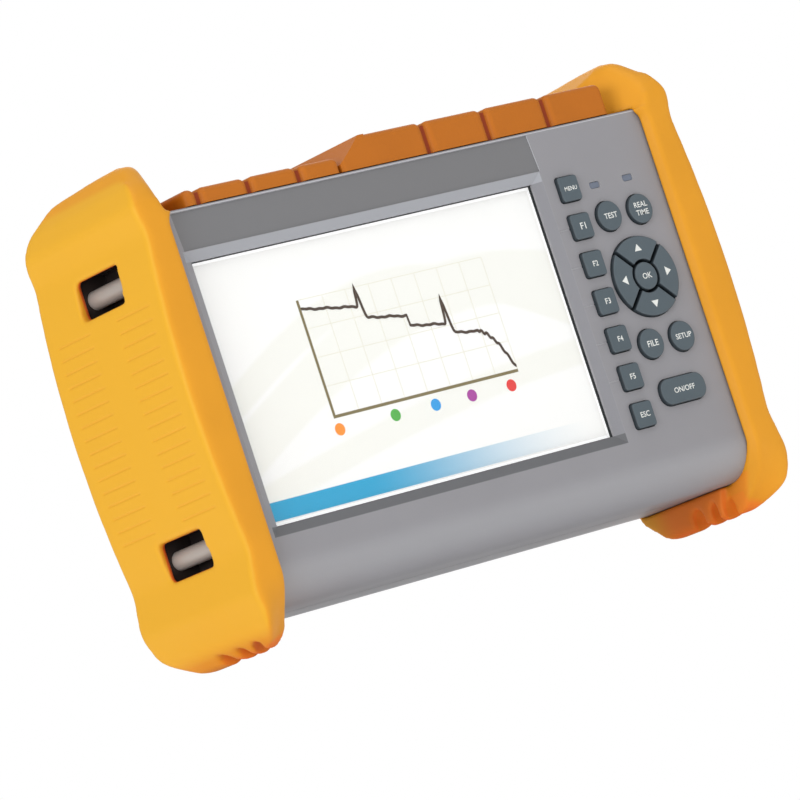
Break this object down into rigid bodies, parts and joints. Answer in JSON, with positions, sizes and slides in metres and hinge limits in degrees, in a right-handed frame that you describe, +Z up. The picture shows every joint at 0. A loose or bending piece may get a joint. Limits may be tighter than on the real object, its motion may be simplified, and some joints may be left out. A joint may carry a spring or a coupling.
{
  "type": "optical time domain reflectometer",
  "caption": "Hand-held optical time domain reflectometer: grey case with screen and keypad between two orange rubber bumpers, hinged port covers on top, folding stand behind.",
  "frame": {"origin": "on the ground, under the middle of the instrument standing upright", "axes": "+X to the right as seen by its user, +Y from the screen to the back, +Z up"},
  "size_m": [0.253, 0.0736, 0.1728],
  "materials": {
    "grey_case": "fine satin texture",
    "orange_rubber": "soft matt",
    "key_rubber": "soft matt, printed legends",
    "dark_rubber": "matt",
    "circuit_board": "solder mask",
    "black_plastic": "satin",
    "screen_glass": "clear",
    "display": "lit display",
    "clear_lens": "clear, bluish",
    "battery_sleeve": "shrink sleeve",
    "ceramic": "polished",
    "plated_metal": "nickel plate",
    "milled_aluminium": "fine milled",
    "steel": "bright"
  },
  "bodies": {
    "instrument": {"battery_door": "grey_case", "battery_pack": "battery_sleeve", "board_screws": "steel", "buzzer": "black_plastic", "case_screws": "steel", "case_seal": "dark_rubber", "cover_hinge_pins": "steel", "dc_jack": "black_plastic", "dome_switches": "steel", "door_screws": "steel", "ethernet_jack": "plated_metal", "fault_locator_port": "plated_metal", "ferrule_sleeves": "ceramic", "fibre_spool": "black_plastic", "front_case": "grey_case", "io_board": "circuit_board", "keypad_board": "circuit_board", "keypad_mat": "dark_rubber", "lcd_module": "display", "left_bumper": "orange_rubber", "left_led_lens": "clear_lens", "left_strap_pins": "steel", "main_board": "circuit_board", "optical_module": "milled_aluminium", "otdr_port": "plated_metal", "port_tray": "black_plastic", "power_meter_port": "plated_metal", "rear_case": "grey_case", "right_bumper": "orange_rubber", "right_led_lens": "clear_lens", "right_strap_pins": "steel", "screen_window": "screen_glass", "stand_pins": "steel", "usb_sockets": "plated_metal"},
    "down_key": {"down_key": "key_rubber"},
    "esc_key": {"esc_key": "key_rubber"},
    "f1_key": {"f1_key": "key_rubber"},
    "f2_key": {"f2_key": "key_rubber"},
    "f3_key": {"f3_key": "key_rubber"},
    "f4_key": {"f4_key": "key_rubber"},
    "f5_key": {"f5_key": "key_rubber"},
    "file_key": {"file_key": "key_rubber"},
    "kickstand": {"kickstand": "black_plastic"},
    "left_key": {"left_key": "key_rubber"},
    "low_port_cover": {"low_port_cover": "orange_rubber"},
    "menu_key": {"menu_key": "key_rubber"},
    "ok_key": {"ok_key": "key_rubber"},
    "power_key": {"power_key": "key_rubber"},
    "real_time_key": {"real_time_key": "key_rubber"},
    "right_key": {"right_key": "key_rubber"},
    "setup_key": {"setup_key": "key_rubber"},
    "tall_port_cover": {"tall_port_cover": "orange_rubber"},
    "test_key": {"test_key": "key_rubber"},
    "up_key": {"up_key": "key_rubber"}
  },
  "joints": [
    {"name": "down_key_press", "type": "slide", "parent": "instrument", "child": "down_key", "axis": [0, 1, 0], "range_m": [0, 0.0008], "stiffness_N_per_m": 1200},
    {"name": "esc_key_press", "type": "slide", "parent": "instrument", "child": "esc_key", "axis": [0, 1, 0], "range_m": [0, 0.0008], "stiffness_N_per_m": 1200},
    {"name": "f1_key_press", "type": "slide", "parent": "instrument", "child": "f1_key", "axis": [0, 1, 0], "range_m": [0, 0.0008], "stiffness_N_per_m": 1200},
    {"name": "f2_key_press", "type": "slide", "parent": "instrument", "child": "f2_key", "axis": [0, 1, 0], "range_m": [0, 0.0008], "stiffness_N_per_m": 1200},
    {"name": "f3_key_press", "type": "slide", "parent": "instrument", "child": "f3_key", "axis": [0, 1, 0], "range_m": [0, 0.0008], "stiffness_N_per_m": 1200},
    {"name": "f4_key_press", "type": "slide", "parent": "instrument", "child": "f4_key", "axis": [0, 1, 0], "range_m": [0, 0.0008], "stiffness_N_per_m": 1200},
    {"name": "f5_key_press", "type": "slide", "parent": "instrument", "child": "f5_key", "axis": [0, 1, 0], "range_m": [0, 0.0008], "stiffness_N_per_m": 1200},
    {"name": "file_key_press", "type": "slide", "parent": "instrument", "child": "file_key", "axis": [0, 1, 0], "range_m": [0, 0.0008], "stiffness_N_per_m": 1200},
    {"name": "left_key_press", "type": "slide", "parent": "instrument", "child": "left_key", "axis": [0, 1, 0], "range_m": [0, 0.0008], "stiffness_N_per_m": 1200},
    {"name": "menu_key_press", "type": "slide", "parent": "instrument", "child": "menu_key", "axis": [0, 1, 0], "range_m": [0, 0.0008], "stiffness_N_per_m": 1200},
    {"name": "ok_key_press", "type": "slide", "parent": "instrument", "child": "ok_key", "axis": [0, 1, 0], "range_m": [0, 0.0008], "stiffness_N_per_m": 1200},
    {"name": "power_key_press", "type": "slide", "parent": "instrument", "child": "power_key", "axis": [0, 1, 0], "range_m": [0, 0.0008], "stiffness_N_per_m": 1200},
    {"name": "real_time_key_press", "type": "slide", "parent": "instrument", "child": "real_time_key", "axis": [0, 1, 0], "range_m": [0, 0.0008], "stiffness_N_per_m": 1200},
    {"name": "right_key_press", "type": "slide", "parent": "instrument", "child": "right_key", "axis": [0, 1, 0], "range_m": [0, 0.0008], "stiffness_N_per_m": 1200},
    {"name": "setup_key_press", "type": "slide", "parent": "instrument", "child": "setup_key", "axis": [0, 1, 0], "range_m": [0, 0.0008], "stiffness_N_per_m": 1200},
    {"name": "test_key_press", "type": "slide", "parent": "instrument", "child": "test_key", "axis": [0, 1, 0], "range_m": [0, 0.0008], "stiffness_N_per_m": 1200},
    {"name": "up_key_press", "type": "slide", "parent": "instrument", "child": "up_key", "axis": [0, 1, 0], "range_m": [0, 0.0008], "stiffness_N_per_m": 1200},
    {"name": "low_cover_hinge", "type": "hinge", "parent": "instrument", "child": "low_port_cover", "pos_m": [-0.06385, 0.0222, 0.1554], "axis": [-1, 0, 0], "range_deg": [0, 110]},
    {"name": "tall_cover_hinge", "type": "hinge", "parent": "instrument", "child": "tall_port_cover", "pos_m": [0.03505, 0.0222, 0.1554], "axis": [-1, 0, 0], "range_deg": [0, 110]},
    {"name": "stand_hinge", "type": "hinge", "parent": "instrument", "child": "kickstand", "pos_m": [0, 0.0344, 0.115], "axis": [1, 0, 0], "range_deg": [0, 60]}
  ]
}
